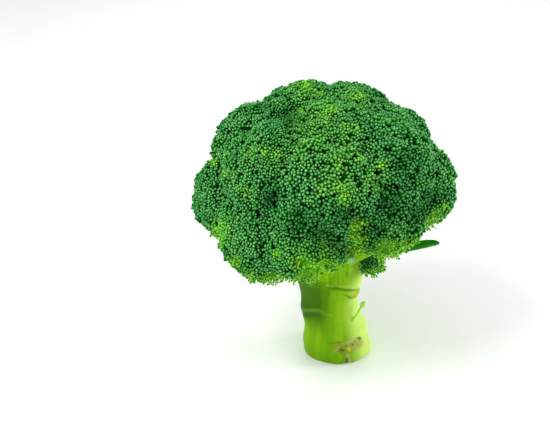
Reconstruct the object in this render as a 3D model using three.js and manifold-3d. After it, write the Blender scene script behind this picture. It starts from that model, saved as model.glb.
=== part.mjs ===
// A head of broccoli standing on its cut stalk. Millimetres, +Z up.
// The light green stalk divides into branches that flare like trumpets, and each branch carries
// one floret: a dome packed with flower buds. Small leaves grow from the branches below the crown.
// Everything is laid out from the middle of the flat cut end, with the side seen first facing -Y,
// and the finished group is then moved so that the middle of the whole head stands over the origin.
import * as THREE from 'three';
import { ConvexHull } from 'three/addons/math/ConvexHull.js';
import { mergeVertices } from 'three/addons/utils/BufferGeometryUtils.js';
import Module from 'manifold-3d';

const wasm = await Module();
wasm.setup();

// The middle of the cut end stands to the right of the middle of the crown.
const cutEndPlace = new THREE.Vector3(9.9, -1.6, 0);

// The crown as a whole is close to an ellipsoid.
const crownCentre = new THREE.Vector3(-9, 0, 103);
const crownSemiAxes = new THREE.Vector3(75, 72, 57);

// Each floret: azimuth and elevation from the crown's centre in degrees (azimuth -90 faces the front),
// reach as a share of the ellipsoid, radius of its dome, and the height where its branch turns outward.
const florets = {
  floret_top_front: { azimuth: -72, elevation: 56, reach: 0.99, radius: 32, fork: 78 },
  floret_top_right: { azimuth: 48, elevation: 56, reach: 1.0, radius: 29, fork: 80 },
  floret_top_left: { azimuth: 132, elevation: 56, reach: 1.0, radius: 32, fork: 80 },
  floret_mid_front: { azimuth: -88, elevation: 20, reach: 1.0, radius: 33, fork: 66 },
  floret_mid_front_left: { azimuth: -135, elevation: 28, reach: 0.99, radius: 29, fork: 68 },
  floret_mid_left: { azimuth: 168, elevation: 28, reach: 0.97, radius: 26, fork: 66 },
  floret_mid_back_left: { azimuth: 118, elevation: 22, reach: 1.0, radius: 30, fork: 64 },
  floret_mid_back: { azimuth: 75, elevation: 22, reach: 1.0, radius: 30, fork: 66 },
  floret_mid_right: { azimuth: 22, elevation: 27, reach: 0.945, radius: 26, fork: 68 },
  floret_mid_front_right: { azimuth: -30, elevation: 28, reach: 0.99, radius: 30, fork: 66 },
  floret_low_front_right: { azimuth: -50, elevation: 3, reach: 0.965, radius: 24, fork: 50 },
  floret_low_right: { azimuth: -3, elevation: 4.5, reach: 0.965, radius: 26, fork: 52 },
  floret_low_front: { azimuth: -102, elevation: -13, reach: 0.965, radius: 25, fork: 50 },
  floret_low_front_left: { azimuth: -134, elevation: -18, reach: 0.985, radius: 28, fork: 48 },
  floret_low_left: { azimuth: 181, elevation: -7, reach: 0.98, radius: 26, fork: 52 },
  floret_low_back_left: { azimuth: 138, elevation: -8, reach: 1.0, radius: 26, fork: 48 },
  floret_low_back: { azimuth: 92, elevation: -8, reach: 1.0, radius: 27, fork: 50 },
  floret_low_back_right: { azimuth: 44, elevation: -6, reach: 0.98, radius: 26, fork: 52 },
};

// The small floret that hangs under the crown beside the stalk. Its branch leaves the stalk high up and
// turns down towards it.
const hangingFloret = { centre: new THREE.Vector3(17.8, -12, 64), radius: 7.8, fork: 36 };
const hangingTurn = new THREE.Vector3(8, -4, 66);

// The buds are larger than life in these solids: one raised point for a cluster of real buds.
const budPitch = 7.0;
const budTipLift = 1.3;
const budTipSpread = 0.35;
const budValleyDepth = 1.1;
const budJitter = 0.14;

// Domes smaller than this radius have their buds and mounds scaled down with them.
const fullReliefRadius = 14;

// Clusters of buds stand together as low mounds on each dome.
const moundCount = 9;
const moundHeight = 1.5;
const moundReach = 0.5;
const moundSpread = 1.45;

// A dome's buds end at this angle from its axis, and its flat back lies this far behind its middle.
const domeAngle = 118;
const backDepthShare = 0.36;

const pieceGap = 0.5;
const creaseGap = 0.5;

// The stalk: cut flat at z = 0, with rings where its scars and leaf bases need them.
const stalkRings = [
  0, 1.2, 3.5, 6, 8.2, 9.6, 13, 16, 19, 23, 27, 29.5, 32, 36, 40, 43.2, 46, 48, 50.4, 58, 70, 84,
];
const stalkTop = stalkRings[stalkRings.length - 1];
const stalkSides = 32;
const firstSideAngle = -4.5;

// Swellings of the stalk: where each one is (angle in degrees, height), how far it reaches to either
// side, below and above, how its height changes with each degree round the stalk, and how far it stands
// out. A short reach above makes a ledge.
const swellings = [
  { angle: -12, width: 75, height: 20, slope: 0, below: 40, above: 22, lift: 1.9 },
  { angle: -5, width: 50, height: 19, slope: 0, below: 6, above: 8, lift: 2.4 },
  { angle: -28, width: 52, height: 5, slope: 0, below: 12, above: 6, lift: 0.5 },
  { angle: -84, width: 48, height: 7.5, slope: 0, below: 12, above: 2.2, lift: 1.8 },
  { angle: -60, width: 50, height: 47.6, slope: -0.1, below: 9, above: 2.2, lift: 2.6 },
  { angle: -36, width: 26, height: 42.5, slope: 0, below: 4, above: 4, lift: 1.2 },
  { angle: -135, width: 58, height: 31, slope: 0.07, below: 2.4, above: 9, lift: 1.9 },
  { angle: 185, width: 75, height: 4, slope: 0, below: 14, above: 16, lift: 2.0 },
  { angle: 192, width: 70, height: 60, slope: 0, below: 16, above: 16, lift: 2.4 },
  { angle: 105, width: 60, height: 24, slope: 0, below: 12, above: 3, lift: 2.0 },
];

// Grooves: where a branch parts from the stalk's front, and the split in the cut base.
const grooves = [
  { angle: -94.5, width: 13, height: 52, slope: 0, below: 20, above: 14, depth: 1.7 },
  { angle: -72, width: 12, height: 0, slope: 0, below: 1, above: 6.5, depth: 1.9 },
];

// A branch's radius at equal steps from the stalk to the floret, for a dome of the given radius or more.
const branchRadii = [8.5, 8, 7.4, 7.6, 9.6, 13.5, 18.5];
const branchSides = 9;
const fullBranchDome = 27;
const branchRootDepth = 26;

// Leaves: root, bend and tip of the midrib, the direction across the blade, its width, how far the
// edges rise, its thickness, and the waves of its edge.
const leaves = {
  leaf_right: {
    root: new THREE.Vector3(8, 6, 52),
    bend: new THREE.Vector3(36, 5, 62),
    tip: new THREE.Vector3(56, -3, 72),
    across: new THREE.Vector3(-0.2, 1, -0.1),
    width: 10,
    arch: 0.3,
    thickness: 1.1,
    waves: 0.06,
  },
  leaf_left: {
    root: new THREE.Vector3(-14, -7, 48),
    bend: new THREE.Vector3(-26, -14, 52),
    tip: new THREE.Vector3(-34, -17, 58),
    across: new THREE.Vector3(0.5, -0.9, 0.1),
    width: 12,
    arch: 0.25,
    thickness: 1.0,
    waves: 0.1,
  },
  bract_front: {
    root: new THREE.Vector3(6.4, -24.5, 70),
    bend: new THREE.Vector3(6.4, -31, 71.5),
    tip: new THREE.Vector3(7.2, -36.5, 78.5),
    across: new THREE.Vector3(1, 0.1, 0),
    width: 6.5,
    arch: -0.3,
    thickness: 0.9,
    waves: 0.04,
  },
};
const leafSteps = 9;
const leafStations = [-1, -0.5, 0, 0.5, 1];

const budGreen = new THREE.MeshStandardMaterial({ color: '#2c6b2a', roughness: 0.75, metalness: 0 });
const stalkGreen = new THREE.MeshStandardMaterial({ color: '#8cc63c', roughness: 0.5, metalness: 0 });
const leafGreen = new THREE.MeshStandardMaterial({ color: '#2f7d2c', roughness: 0.6, metalness: 0 });
const bractGreen = new THREE.MeshStandardMaterial({ color: '#a9cf93', roughness: 0.6, metalness: 0 });

const degrees = Math.PI / 180;
const goldenAngle = Math.PI * (3 - Math.sqrt(5));
const up = new THREE.Vector3(0, 0, 1);

// A small seeded generator, so that every build gives the same head.
function seededRandom(seed) {
  let state = seed >>> 0;
  return () => {
    state = (state * 1664525 + 1013904223) >>> 0;
    return state / 4294967296;
  };
}

// A smooth step from 0 at low to 1 at high.
function rise(low, high, value) {
  const share = Math.min(1, Math.max(0, (value - low) / (high - low)));
  return share * share * (3 - 2 * share);
}

// How strongly a swelling or groove acts at an angle and height: 1 in its middle, 0 at its edge.
function strength(mark, angle, height) {
  const apart = angle - mark.angle * degrees;
  const aside = Math.atan2(Math.sin(apart), Math.cos(apart)) / degrees;
  const along = height - mark.height - mark.slope * aside;
  const reach = along < 0 ? mark.below : mark.above;
  return (1 - rise(0, mark.width, Math.abs(aside))) * (1 - rise(0, reach, Math.abs(along)));
}

function solidFrom(geometry) {
  const bare = geometry.index ? geometry.toNonIndexed() : geometry.clone();
  for (const name of ['normal', 'uv']) bare.deleteAttribute(name);
  const merged = mergeVertices(bare, 1e-4);
  const vertProperties = new Float32Array(merged.attributes.position.array);
  const triVerts = new Uint32Array(merged.index.array);
  return new wasm.Manifold(new wasm.Mesh({ numProp: 3, vertProperties, triVerts }));
}

function geometryFrom(solid) {
  const mesh = solid.getMesh();
  const geometry = new THREE.BufferGeometry();
  geometry.setAttribute('position', new THREE.BufferAttribute(new Float32Array(mesh.vertProperties), 3));
  geometry.setIndex(new THREE.BufferAttribute(new Uint32Array(mesh.triVerts), 1));
  return geometry;
}

// The largest body of a solid: a loose scrap left by a cut is dropped, and a sealed hollow is filled.
function largestBody(solid) {
  const bodies = solid.decompose();
  return bodies.reduce((best, body) => (body.volume() > best.volume() ? body : best));
}

// A closed skin over rings of equal length, with a middle point closing each end.
function skin(rings) {
  const sides = rings[0].length;
  const points = rings.flat();
  const firstMiddle = points.length;
  const lastMiddle = firstMiddle + 1;
  const middle = (ring) => ring.reduce((sum, p) => sum.add(p), new THREE.Vector3()).divideScalar(sides);
  points.push(middle(rings[0]), middle(rings[rings.length - 1]));
  const index = [];
  for (let side = 0; side < sides; side++) {
    const next = (side + 1) % sides;
    for (let ring = 0; ring < rings.length - 1; ring++) {
      const low = ring * sides;
      const high = low + sides;
      index.push(low + side, low + next, high + next, low + side, high + next, high + side);
    }
    const last = (rings.length - 1) * sides;
    index.push(firstMiddle, next, side, lastMiddle, last + side, last + next);
  }
  const geometry = new THREE.BufferGeometry().setFromPoints(points);
  geometry.setIndex(index);
  return geometry;
}

// A branch along a curve: one ring of the given radius at each equal step, grown all round by extra.
function branchAlong(curve, radii, sides, extra = 0) {
  const steps = radii.length - 1;
  const frames = curve.computeFrenetFrames(steps, false);
  const rings = radii.map((radius, step) => {
    const centre = curve.getPointAt(step / steps);
    if (step === steps) centre.addScaledVector(frames.tangents[step], extra);
    return Array.from({ length: sides }, (_, side) => {
      const angle = (side / sides) * 2 * Math.PI;
      return centre.clone()
        .addScaledVector(frames.normals[step], (radius + extra) * Math.cos(angle))
        .addScaledVector(frames.binormals[step], (radius + extra) * Math.sin(angle));
    });
  });
  return skin(rings);
}

// The stalk's middle line bends to the left at its waist and again below the crown.
function stalkMiddle(height) {
  return new THREE.Vector3(-5 * rise(0, 30, height) - 4 * rise(50, 90, height), 0, height);
}

// The stalk's radius at an angle round it and a height: a waist, a taper inside the crown, faint ribs,
// and the swellings and grooves listed above.
function stalkRadius(angle, height) {
  const waist = 18 - 2 * rise(7, 20, height) + 3.2 * rise(34, 54, height) - 10 * rise(64, stalkTop, height);
  const ribs = 0.3 * Math.cos(5 * angle + 0.05 * height) + 0.25 * Math.cos(3 * angle - 0.09 * height);
  const swollen = swellings.reduce((sum, mark) => sum + mark.lift * strength(mark, angle, height), 0);
  const sunk = grooves.reduce((sum, mark) => sum + mark.depth * strength(mark, angle, height), 0);
  return waist + ribs + swollen - sunk;
}

function trunk(extra = 0) {
  const rings = stalkRings.map((height, ring) => Array.from({ length: stalkSides }, (_, side) => {
    const angle = (side / stalkSides) * 2 * Math.PI + firstSideAngle * degrees;
    const roundedEdge = ring === 0 ? 0.9 : 0;
    const radius = stalkRadius(angle, height) - roundedEdge + extra;
    return stalkMiddle(height).add(new THREE.Vector3(radius * Math.cos(angle), radius * Math.sin(angle), 0));
  }));
  return skin(rings);
}

// The middle of a floret's dome, set in from the crown's ellipsoid by the dome's radius.
function domeCentre(spec) {
  const azimuth = spec.azimuth * degrees;
  const elevation = spec.elevation * degrees;
  const outward = new THREE.Vector3(
    Math.cos(elevation) * Math.cos(azimuth),
    Math.cos(elevation) * Math.sin(azimuth),
    Math.sin(elevation),
  );
  const reach = spec.reach / outward.clone().divide(crownSemiAxes).length();
  return crownCentre.clone().addScaledVector(outward, reach - spec.radius);
}

// A floret with its axis along its branch, and the point where the branch meets its flat back.
function placed(name, spec, centre, turnPoint = stalkMiddle(spec.fork)) {
  const axis = centre.clone().sub(turnPoint).normalize();
  const back = centre.clone().addScaledVector(axis, -backDepthShare * spec.radius);
  const relief = Math.min(1, spec.radius / fullReliefRadius);
  return { name, radius: spec.radius, fork: spec.fork, centre, turnPoint, axis, back, relief };
}

// Bud directions spread evenly over a dome by the golden angle, the first ones round its axis.
function budDirections(spec, random) {
  const pitch = budPitch * spec.relief;
  const count = Math.round((4 * Math.PI * spec.radius ** 2) / (0.87 * pitch * pitch));
  const toAxis = new THREE.Quaternion().setFromUnitVectors(up, spec.axis);
  const jitter = (budJitter * pitch) / spec.radius;
  const lowest = Math.cos(domeAngle * degrees);
  const directions = [];
  for (let n = 0; n < count; n++) {
    const z = 1 - (2 * n + 1) / count;
    if (z < lowest) break;
    const ring = Math.sqrt(1 - z * z);
    const turn = n * goldenAngle;
    const direction = new THREE.Vector3(ring * Math.cos(turn), ring * Math.sin(turn), z);
    direction.x += (2 * random() - 1) * jitter;
    direction.y += (2 * random() - 1) * jitter;
    directions.push(direction.normalize().applyQuaternion(toAxis));
  }
  return directions;
}

function moundDirections(axis) {
  const toAxis = new THREE.Quaternion().setFromUnitVectors(up, axis);
  return Array.from({ length: moundCount }, (_, n) => {
    const spread = Math.sqrt((n + 0.5) / moundCount) * moundSpread;
    const around = n * goldenAngle;
    const direction = new THREE.Vector3(
      Math.sin(spread) * Math.cos(around),
      Math.sin(spread) * Math.sin(around),
      Math.cos(spread),
    );
    return direction.applyQuaternion(toAxis);
  });
}

// How far the dome rises at a direction, by its angle to the nearest mound.
function moundSwell(direction, mounds) {
  const nearest = mounds.reduce((best, mound) => Math.max(best, direction.dot(mound)), -1);
  return moundHeight * (1 - rise(0.05, moundReach, Math.acos(Math.min(1, nearest))));
}

function cornersOf(face) {
  const corners = [];
  let edge = face.edge;
  do {
    corners.push(edge.head().point);
    edge = edge.next;
  } while (edge !== face.edge);
  return corners;
}

// The budded dome: the hull of the bud directions joins each bud to its neighbours. Each bud is a
// raised tip, and the middle of each hull face is a point of the valleys between the buds.
function buddedDome(spec, random) {
  const directions = budDirections(spec, random);
  const budCount = directions.length;
  directions.push(spec.axis.clone().negate());
  const mounds = moundDirections(spec.axis);
  const surface = (direction, lift) => direction.clone()
    .multiplyScalar(spec.radius + spec.relief * (moundSwell(direction, mounds) + lift))
    .add(spec.centre);
  const tips = new Map(directions.map((direction, n) => {
    const lift = n < budCount ? budTipLift + (2 * random() - 1) * budTipSpread : 0;
    return [direction, surface(direction, lift)];
  }));
  const rear = directions[budCount];
  const hull = new ConvexHull().setFromPoints(directions);
  const valleys = new Map(hull.faces.map((face) => {
    const corners = cornersOf(face);
    const middle = corners.reduce((sum, p) => sum.add(p), new THREE.Vector3()).normalize();
    return [face, surface(middle, corners.includes(rear) ? 0 : -budValleyDepth)];
  }));
  const positions = [];
  for (const face of hull.faces) {
    let edge = face.edge;
    do {
      positions.push(tips.get(edge.tail().point), valleys.get(edge.twin.face), valleys.get(face));
      edge = edge.next;
    } while (edge !== face.edge);
  }
  return new THREE.BufferGeometry().setFromPoints(positions);
}

// A large block whose near face passes through a point, facing along a normal: it cuts all beyond.
function blockBeyond(point, normal) {
  const size = 160;
  const block = new THREE.BoxGeometry(size, size, size);
  block.translate(0, 0, size / 2);
  block.applyQuaternion(new THREE.Quaternion().setFromUnitVectors(up, normal));
  block.translate(point.x, point.y, point.z);
  return solidFrom(block);
}

// One floret: its dome, cut flat at the back, along its creases with its neighbours, and round the stalk.
function floretSolid(spec, others, stalkRoom, seed) {
  let solid = solidFrom(buddedDome(spec, seededRandom(seed)));
  solid = solid.subtract(blockBeyond(spec.back, spec.axis.clone().negate()));
  const relief = 2 * (moundHeight + budTipLift + budTipSpread);
  for (const other of others) {
    const apart = other.centre.clone().sub(spec.centre);
    const distance = apart.length();
    if (distance > spec.radius + other.radius + relief) continue;
    const crease = (distance ** 2 + spec.radius ** 2 - other.radius ** 2) / (2 * distance);
    apart.normalize();
    const nearFace = spec.centre.clone().addScaledVector(apart, crease - creaseGap / 2);
    solid = solid.subtract(blockBeyond(nearFace, apart));
  }
  return largestBody(solid.subtract(stalkRoom));
}

// The stalk and its branches as one body; extra makes the room that the other pieces leave round it.
function stalkSolid(places, extra = 0) {
  let solid = solidFrom(trunk(extra));
  for (const place of places) {
    const root = stalkMiddle(Math.max(place.fork - branchRootDepth, branchRootDepth / 2));
    const end = place.back.clone().addScaledVector(place.axis, -pieceGap);
    const curve = new THREE.QuadraticBezierCurve3(root, place.turnPoint, end);
    const share = Math.min(1, place.radius / fullBranchDome);
    const radii = branchRadii.map((radius) => radius * share);
    solid = solid.add(solidFrom(branchAlong(curve, radii, branchSides, extra)));
  }
  return solid.add(solidFrom(sideShoot(extra)));
}

// The stub of a side shoot on the stalk's right: a thin stem with a knob.
function sideShoot(extra) {
  const curve = new THREE.QuadraticBezierCurve3(
    new THREE.Vector3(7.6, -10, 23.5),
    new THREE.Vector3(11, -12.5, 30.5),
    new THREE.Vector3(15, -9.5, 37),
  );
  return branchAlong(curve, [1.4, 1.1, 0.9, 0.85, 0.9, 1.7, 1.2], 8, extra);
}

// A leaf blade: a strip along its midrib whose half width follows a leaf's outline, arched across.
function leafBlade(spec) {
  const curve = new THREE.QuadraticBezierCurve3(spec.root, spec.bend, spec.tip);
  const frames = curve.computeFrenetFrames(leafSteps, false);
  const rings = Array.from({ length: leafSteps + 1 }, (_, step) => {
    const along = step / leafSteps;
    const tangent = frames.tangents[step];
    const sideways = spec.across.clone().addScaledVector(tangent, -spec.across.dot(tangent)).normalize();
    const normal = tangent.clone().cross(sideways).normalize();
    const outline = 0.2 + 0.8 * Math.sin(Math.PI * (0.1 + 0.84 * along)) ** 0.8;
    const half = 0.5 * spec.width * outline * (1 + spec.waves * Math.sin(17 * along));
    const middle = curve.getPointAt(along);
    const face = (side) => leafStations.map((station) => middle.clone()
      .addScaledVector(sideways, station * half)
      .addScaledVector(normal, spec.arch * station * station * half + side * spec.thickness / 2));
    return [...face(1).reverse(), ...face(-1)];
  });
  return skin(rings);
}

const head = new THREE.Group();
head.name = 'broccoli_head';
head.position.copy(cutEndPlace);

function addPiece(name, solid, material) {
  const mesh = new THREE.Mesh(geometryFrom(solid), material);
  mesh.name = name;
  head.add(mesh);
}

const places = Object.entries(florets).map(([name, spec]) => placed(name, spec, domeCentre(spec)));
places.push(placed('floret_hanging_small', hangingFloret, hangingFloret.centre, hangingTurn));

const stalkRoom = largestBody(stalkSolid(places, pieceGap));
addPiece('stalk', largestBody(stalkSolid(places)), stalkGreen);
places.forEach((place, n) => {
  const others = places.filter((other) => other !== place);
  addPiece(place.name, floretSolid(place, others, stalkRoom, 200 + n), budGreen);
});
for (const [name, spec] of Object.entries(leaves)) {
  const blade = largestBody(solidFrom(leafBlade(spec)).subtract(stalkRoom));
  addPiece(name, blade, name.startsWith('bract') ? bractGreen : leafGreen);
}

export default head;
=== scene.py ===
import math

import bpy
import numpy as np
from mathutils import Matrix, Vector


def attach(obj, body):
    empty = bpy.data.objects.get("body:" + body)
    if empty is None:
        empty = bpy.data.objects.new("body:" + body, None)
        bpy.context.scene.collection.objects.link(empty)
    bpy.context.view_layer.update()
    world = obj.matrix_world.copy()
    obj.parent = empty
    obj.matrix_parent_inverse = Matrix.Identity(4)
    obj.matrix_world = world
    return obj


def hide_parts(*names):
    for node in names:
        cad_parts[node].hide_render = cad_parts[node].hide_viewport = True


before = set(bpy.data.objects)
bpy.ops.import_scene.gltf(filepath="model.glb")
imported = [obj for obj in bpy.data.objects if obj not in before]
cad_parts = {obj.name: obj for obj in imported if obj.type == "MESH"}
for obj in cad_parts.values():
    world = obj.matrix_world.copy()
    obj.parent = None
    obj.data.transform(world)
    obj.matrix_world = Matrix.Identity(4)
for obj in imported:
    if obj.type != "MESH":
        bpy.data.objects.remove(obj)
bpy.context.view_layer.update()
print("frame loaded,", len(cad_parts), "nodes")

# Lengths are millimetres from the middle of the stalk's cut end, and angles are degrees.
# meshFrom() moves the points by cutEnd and scales them to metres, so that they lie in the frame.
cutEnd = np.array([9.9, -1.6, 0.0])
mm = 0.001
goldenAngle = math.pi * (3 - math.sqrt(5))
skinRadius = 17.5  # of the stalk, for lengths round it


# A smooth step: 3 s^2 - 2 s^3, where s is the share of the way from low to high.
def rise(low, high, value):
    share = np.clip((value - low) / (high - low), 0, 1)
    return share * share * (3 - 2 * share)


def unit(rows):
    return rows / np.linalg.norm(rows, axis=-1, keepdims=True)


# The least turn from +Z to a direction, as a matrix: I + K + K K / (1 + cos), K being the cross product
# with the turning axis.
def turnTo(direction):
    x, y, z = unit(np.asarray(direction, float))
    cross = np.array([[0, 0, x], [0, 0, y], [-x, -y, 0]])
    return np.eye(3) + cross + cross @ cross / (1 + z)


# Two directions square to each of the given ones and to each other.
def sideways(directions):
    helper = np.where(np.abs(directions[..., 2:]) < 0.9, [[0.0, 0.0, 1.0]], [[1.0, 0.0, 0.0]])
    first = unit(np.cross(helper, directions))
    return first, np.cross(directions, first)


# Directions spread evenly about +Z out to the angle widest: their heights fall by equal steps while
# they turn by the golden angle. Each is then moved a little at random.
def evenDirections(countOnSphere, widest, jitter, chance):
    heights = 1 - (2 * np.arange(countOnSphere) + 1) / countOnSphere
    heights = heights[heights > math.cos(math.radians(widest))]
    around = np.arange(len(heights)) * goldenAngle
    out = np.sqrt(1 - heights**2)
    directions = np.column_stack([out * np.cos(around), out * np.sin(around), heights])
    return unit(directions + chance.normal(0, jitter, directions.shape))


# A mesh object from points in millimetres, faces given as one array for each number of corners, and
# values for its points.
def meshFrom(name, points, faceSets, finish, values={}):
    corners = np.concatenate([faces.ravel() for faces in faceSets])
    sizes = np.concatenate([np.full(len(faces), faces.shape[1]) for faces in faceSets])
    mesh = bpy.data.meshes.new(name)
    mesh.vertices.add(len(points))
    mesh.vertices.foreach_set("co", ((points + cutEnd) * mm).astype(np.float32).ravel())
    mesh.loops.add(len(corners))
    mesh.loops.foreach_set("vertex_index", corners.astype(np.int32))
    mesh.polygons.add(len(sizes))
    mesh.polygons.foreach_set("loop_start", (np.cumsum(sizes) - sizes).astype(np.int32))
    mesh.polygons.foreach_set("use_smooth", np.ones(len(sizes), bool))
    for key, value in values.items():
        mesh.attributes.new(key, "FLOAT", "POINT").data.foreach_set("value", value.astype(np.float32))
    mesh.update(calc_edges=True)
    made = bpy.data.objects.new(name, mesh)
    bpy.context.scene.collection.objects.link(made)
    if finish:
        mesh.materials.append(finish)
    return made


# Faces of a grid of rows and columns whose points are numbered row by row; closed joins the last
# column to the first.
def gridFaces(rows, columns, closed=True):
    row = np.arange(rows - 1)[:, None]
    column = np.arange(columns if closed else columns - 1)[None, :]
    following = (column + 1) % columns
    low = row * columns
    high = low + columns
    return np.stack([low + column, low + following, high + following, high + column], -1).reshape(-1, 4)


# Faces of a polar grid: four corners between its rings, and three round the one point at each pole. The
# poles are numbered after the rings.
def closedFaces(rings, sides):
    side = np.arange(sides)
    following = (side + 1) % sides
    first = rings * sides
    last = (rings - 1) * sides
    fans = np.concatenate([
        np.column_stack([np.full(sides, first), following, side]),
        np.column_stack([np.full(sides, first + 1), last + side, last + following]),
    ])
    return gridFaces(rings, sides), fans


# The angles of evenly spread sides, in radians.
def turns(sides):
    return np.arange(sides) / sides * 2 * math.pi


# A quadratic curve at the shares t of its way: (1-t)^2 root + 2t(1-t) bend + t^2 tip.
def curveAt(share, root, bend, tip):
    return (1 - share) ** 2 * root + 2 * share * (1 - share) * bend + share**2 * tip


def curveDirection(share, root, bend, tip):
    return unit((1 - share) * (bend - root) + share * (tip - bend))


# The shares of a quadratic curve's way at which its steps are equally long.
def evenSteps(root, bend, tip, steps):
    fine = np.linspace(0, 1, 200)[:, None]
    path = curveAt(fine, root, bend, tip)
    length = np.concatenate([[0], np.cumsum(np.linalg.norm(np.diff(path, axis=0), axis=1))])
    return np.interp(np.linspace(0, length[-1], steps), length, fine[:, 0])


# Tubes round many paths at once: a ring of points stands square to the path at each of its steps, at the
# radius given for it. Returns points, side faces and end faces.
def tubesRound(paths, tangents, radii, sides):
    across = sideways(unit(paths[:, -1] - paths[:, 0]))[0][:, None]
    first = unit(across - np.sum(across * tangents, -1, keepdims=True) * tangents)
    second = np.cross(tangents, first)
    turn = turns(sides)[:, None]
    ring = np.cos(turn) * first[:, :, None] + np.sin(turn) * second[:, :, None]
    points = paths[:, :, None] + radii[:, :, None, None] * ring
    steps = paths.shape[1]
    count = steps * sides
    starts = (np.arange(len(paths)) * count)[:, None, None]
    quads = (gridFaces(steps, sides)[None] + starts).reshape(-1, 4)
    ends = np.stack([np.arange(sides)[::-1], np.arange(sides) + count - sides])
    caps = (ends[None] + starts).reshape(-1, sides)
    return points.reshape(-1, 3), quads, caps


# Tubes along quadratic curves, given by their roots, bends and tips.
def tubes(roots, bends, tips, radii, sides):
    share = np.linspace(0, 1, radii.shape[1])[None, :, None]
    ends = roots[:, None], bends[:, None], tips[:, None]
    return tubesRound(curveAt(share, *ends), curveDirection(share, *ends), radii, sides)


# Shader maths. A Wire stands for an output socket, and an expression on wires adds the Math nodes.
class Wire:
    def __init__(self, shader, socket):
        self.shader = shader
        self.socket = socket

    def maths(self, operation, *values):
        return self.shader.node("Math", {"operation": operation}, dict(enumerate(values)))

    def __add__(self, other):
        return self.maths("ADD", self, other)

    def __sub__(self, other):
        return self.maths("SUBTRACT", self, other)

    def __rsub__(self, other):
        return self.maths("SUBTRACT", other, self)

    def __mul__(self, other):
        return self.maths("MULTIPLY", self, other)

    def __truediv__(self, other):
        return self.maths("DIVIDE", self, other)

    def __pow__(self, other):
        return self.maths("POWER", self, other)

    __radd__ = __add__
    __rmul__ = __mul__


# One material: node() adds any node, given its type, its settings and the values or links of its sockets.
class Shader:
    def __init__(self, name, fixed):
        self.material = bpy.data.materials.new(name)
        self.material.use_nodes = True
        self.tree = self.material.node_tree
        self.surface = self.tree.nodes["Principled BSDF"]
        self.plug(self.surface, fixed)

    def plug(self, node, sockets):
        for key, value in sockets.items():
            if isinstance(value, Wire):
                self.tree.links.new(value.socket, node.inputs[key])
            else:
                node.inputs[key].default_value = value

    def node(self, kind, settings={}, sockets={}, output=0):
        made = self.tree.nodes.new("ShaderNode" + kind)
        for key, value in settings.items():
            setattr(made, key, value)
        self.plug(made, sockets)
        return Wire(self, made.outputs[output])

    def value(self, attribute):
        return self.node("Attribute", {"attribute_name": attribute}, output=2)

    # The three numbers of a vector.
    def split(self, vector):
        separate = self.node("SeparateXYZ", {}, {0: vector}).socket.node
        return [Wire(self, socket) for socket in separate.outputs]

    # How near a place on the stalk's skin is to some lines: a line's strength on it, and 0 beyond its half
    # width. The place is given by its length round the stalk and its height, and each line by the angles
    # and heights of its ends, half width and strength. The nearest point of a line lies at the share
    # p . d / d . d of the way, held between 0 and 1.
    def nearLines(self, around, height, lines):
        nearest = 0.0
        for startAngle, startHeight, endAngle, endHeight, halfWidth, strength in lines:
            start = math.radians(startAngle) * skinRadius
            dx, dy = math.radians(endAngle) * skinRadius - start, endHeight - startHeight
            along, above = around - start, height - startHeight
            share = self.node("Clamp", {}, {"Value": (along * dx + above * dy) / (dx * dx + dy * dy)})
            far = ((along - share * dx) ** 2 + (above - share * dy) ** 2) ** 0.5
            nearest = far.maths("MAXIMUM", nearest, (1 - self.step(0, halfWidth, far)) * strength)
        return nearest

    # The same for a round spot at an angle and height: 1 up to the first radius and 0 from the second.
    def nearSpot(self, around, height, angle, level, full, gone):
        far = ((around - math.radians(angle) * skinRadius) ** 2 + (height - level) ** 2) ** 0.5
        return 1 - self.step(full, gone, far)

    # How much a place on the skin faces a direction: 1 up to the first angle on either side of it and 0
    # from the second. The cosine of the angle between the two is (x cos a + y sin a) / r.
    def facing(self, x, y, middle, full, gone):
        turn = math.radians(middle)
        cosine = (x * math.cos(turn) + y * math.sin(turn)) / (x * x + y * y) ** 0.5
        return self.step(math.cos(math.radians(gone)), math.cos(math.radians(full)), cosine)

    def step(self, low, high, value):
        settings = {"interpolation_type": "SMOOTHSTEP"}
        return self.node("MapRange", settings, {0: value, 1: low, 2: high, 3: 0.0, 4: 1.0})

    # From the first colour to the second, each a wire or a colour as written on a screen.
    def mix(self, share, first, second):
        first, second = [tint if isinstance(tint, Wire) else colour(*tint) for tint in (first, second)]
        return self.node("Mix", {"data_type": "RGBA"}, {0: share, 6: first, 7: second}, output=2)

    # The place on the object in millimetres, moved by the given location.
    def place(self, location=(0, 0, 0)):
        spot = self.node("TexCoord", output=3)
        scale = (1 / mm, 1 / mm, 1 / mm)
        return self.node("Mapping", {}, {"Vector": spot, "Scale": scale, "Location": location})

    def noise(self, spot, size, detail=2.0):
        return self.node("TexNoise", {}, {"Vector": spot, "Scale": 1 / size, "Detail": detail})

    def finish(self, sockets, height=None, depth=0.1):
        if height:
            bump = {"Height": height, "Distance": depth * mm, "Strength": 1.0}
            sockets = {**sockets, "Normal": self.node("Bump", {}, bump)}
        self.plug(self.surface, sockets)
        return self.material


# A colour written as on a screen, turned into the light values that shaders work with.
def colour(red, green, blue):
    screen = np.array([red, green, blue]) / 255
    light = np.where(screen < 0.04045, screen / 12.92, ((screen + 0.055) / 1.055) ** 2.4)
    return (*light.tolist(), 1.0)


# Camera, light and floor
view = {
    "aim": (9.9, -1.6, 60),  # the point the camera stands round, in the frame
    "distance": 760,
    "elevation": 27,
    "lens": 87.05,
    "sensor": 36,
    "pixels": np.array([550, 440]),  # width and height of the picture
    "aimPixelsRight": 65,  # where the aim point shows, from the picture's middle
    "aimPixelsDown": 36.4,
}


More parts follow.
